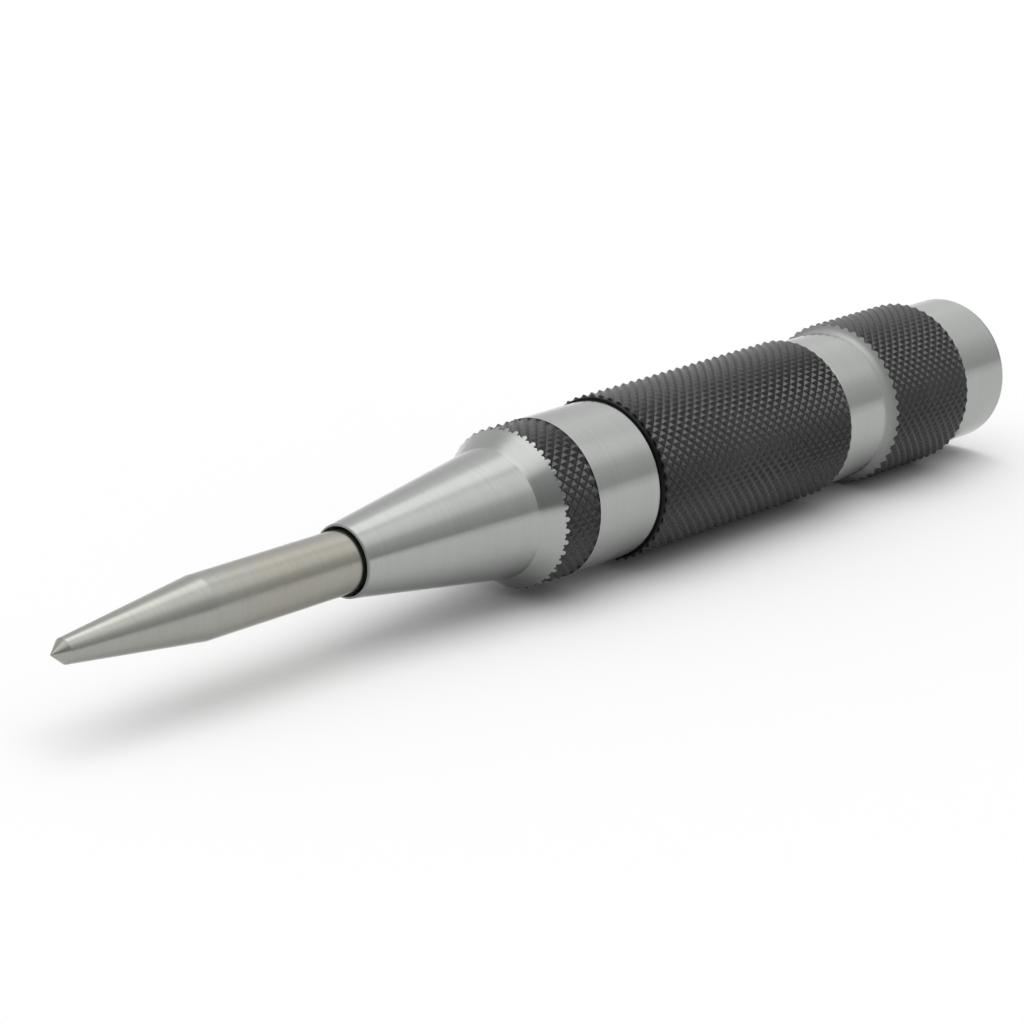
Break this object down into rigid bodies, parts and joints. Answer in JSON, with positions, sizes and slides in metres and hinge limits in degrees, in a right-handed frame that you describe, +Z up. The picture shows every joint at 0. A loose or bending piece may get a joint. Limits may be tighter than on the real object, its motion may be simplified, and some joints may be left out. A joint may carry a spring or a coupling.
{
  "type": "automatic center punch",
  "caption": "Spring-loaded automatic center punch with a tapered steel point, a conical nose, a black knurled grip and a knurled screw cap that sets the force of the blow.",
  "frame": {"origin": "on the surface that the tool lies on, under the middle of its length", "axes": "+X along the tool from the tip to the cap, +Z up, +Y to the left seen from the tip"},
  "size_m": [0.133, 0.018, 0.0181],
  "materials": {
    "nose_steel": "turned bright, with a black oxide knurl on the collar",
    "black_steel": "black oxide, diamond knurl",
    "cap_steel": "turned bright, with a black oxide knurl round the middle",
    "point_steel": "hardened and ground, warm grey",
    "hard_steel": "hardened, ground",
    "spring_steel": "drawn spring wire"
  },
  "bodies": {
    "housing": {"nose_piece": "nose_steel", "barrel": "black_steel", "return_spring": "spring_steel"},
    "punch": {"punch_point": "point_steel", "plunger": "hard_steel", "trip_pin": "hard_steel"},
    "hammer": {"hammer": "hard_steel", "trip_spring": "spring_steel"},
    "trip_slide": {"trip_slide": "hard_steel"},
    "spring_seat": {"spring_seat": "hard_steel", "main_spring": "spring_steel"},
    "cap": {"adjusting_cap": "cap_steel"}
  },
  "joints": [
    {"name": "punch_plunge", "type": "slide", "parent": "housing", "child": "punch", "axis": [1, 0, 0], "range_m": [0, 0.007], "stiffness_N_per_m": 600, "springref_m": -0.005, "deforming": ["return_spring"]},
    {"name": "hammer_slide", "type": "slide", "parent": "housing", "child": "hammer", "axis": [1, 0, 0], "range_m": [0, 0.007], "stiffness_N_per_m": 900, "springref_m": -0.008, "deforming": ["main_spring"]},
    {"name": "trip_shift", "type": "slide", "parent": "hammer", "child": "trip_slide", "axis": [0, 0, -1], "range_m": [0, 0.002], "deforming": ["trip_spring"]},
    {"name": "cap_travel", "type": "slide", "parent": "housing", "child": "spring_seat", "axis": [1, 0, 0], "range_m": [0, 0.00375]},
    {"name": "cap_turn", "type": "hinge", "parent": "spring_seat", "child": "cap", "pos_m": [0.05, 0, 0.00905], "axis": [1, 0, 0], "range_deg": [0, 1080]}
  ],
  "couplings": [
    {"joint": "hammer_slide", "follows": "punch_plunge", "ratio": 1},
    {"joint": "trip_shift", "follows": "punch_plunge", "ratio": 0.28571},
    {"joint": "cap_turn", "follows": "cap_travel", "rad_per_m": 5026.5}
  ]
}
